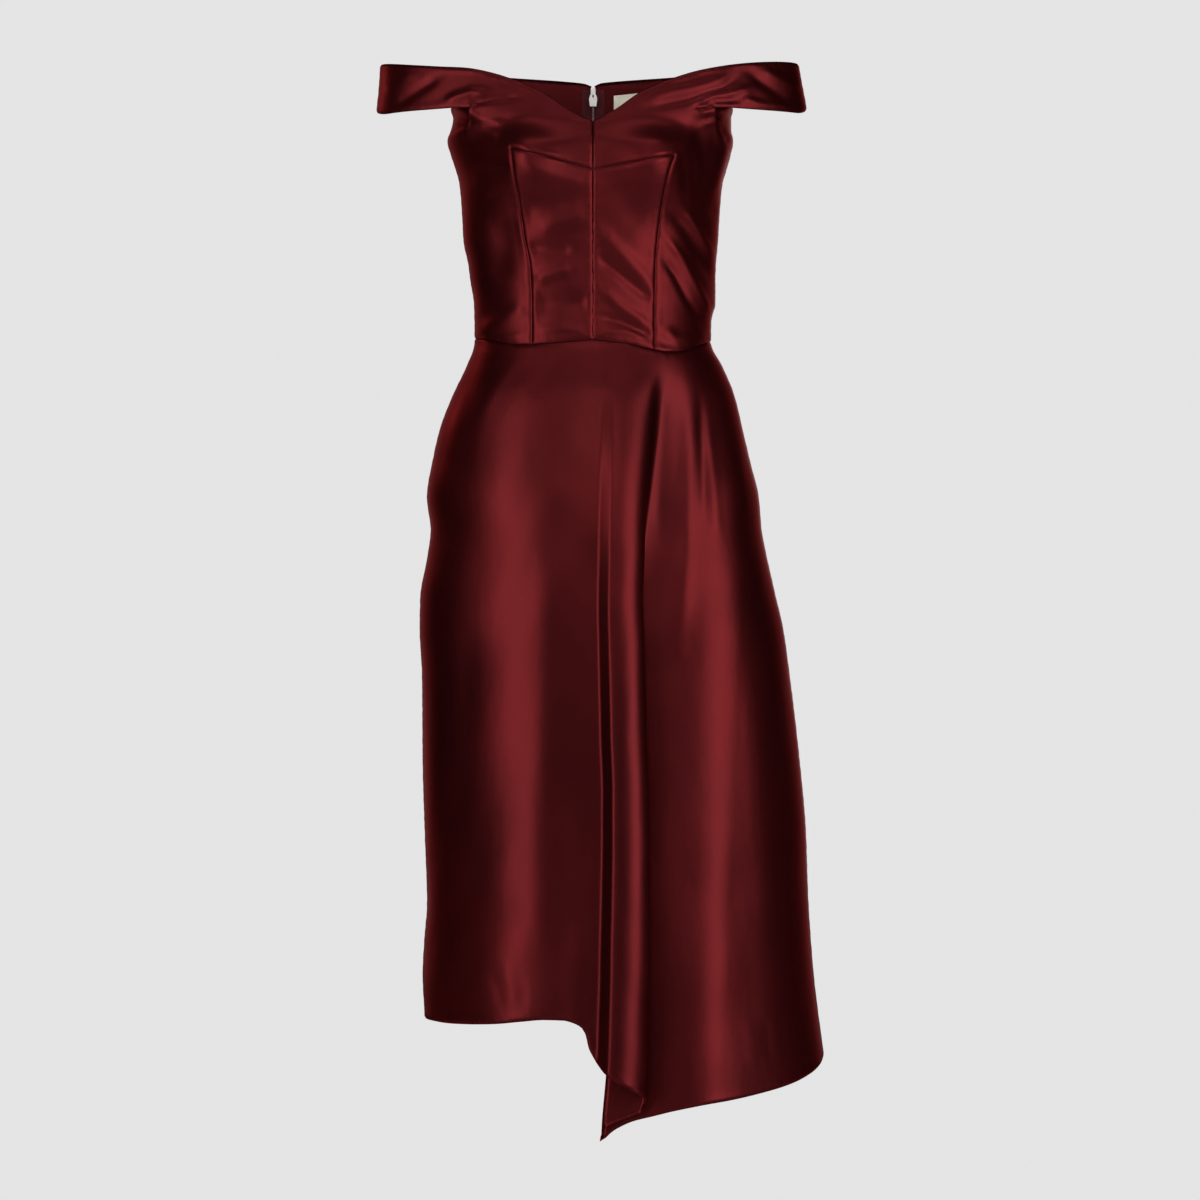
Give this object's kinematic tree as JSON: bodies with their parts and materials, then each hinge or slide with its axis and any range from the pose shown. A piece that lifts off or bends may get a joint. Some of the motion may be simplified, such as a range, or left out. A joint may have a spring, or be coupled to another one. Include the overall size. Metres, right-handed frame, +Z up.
{
  "type": "off-the-shoulder satin midi dress",
  "caption": "Fitted off-the-shoulder satin midi dress with kimono-cut sleeve bands, V bust seam, flared skirt with one deep front fold and a pointed hem, filled out as worn.",
  "frame": {"origin": "the wearer's waist: on the body's middle line at the height of the back waist seam, where the dress is held up", "axes": "+Z up along the body, the front of the dress faces -Y, +X is the viewer's right when facing the front"},
  "size_m": [0.4646, 0.3449, 1.1004],
  "materials": {
    "satin": "heavy burgundy satin with a strong sheen",
    "zip_tape": "matt dark red woven tape",
    "zip_coil": "mauve-grey moulded coil",
    "zip_metal": "silver-white, satin polish",
    "label_cloth": "cream woven label, blank"
  },
  "bodies": {
    "dress": {"back_left": "satin", "back_right": "satin", "front_centre_left": "satin", "front_centre_right": "satin", "front_side_left": "satin", "front_side_right": "satin", "label": "label_cloth", "pocket_left": "satin", "pocket_right": "satin", "skirt_back_left": "satin", "skirt_back_right": "satin", "skirt_front": "satin", "zip_coil": "zip_coil", "zip_slider": "zip_metal", "zip_tape_left": "zip_tape", "zip_tape_right": "zip_tape"},
    "pull": {"zip_pull": "zip_metal"}
  },
  "joints": [
    {"name": "zip_pull_hinge", "type": "hinge", "parent": "dress", "child": "pull", "pos_m": [0, 0.083, 0.271], "axis": [-1, 0, 0], "range_deg": [0, 160]}
  ]
}
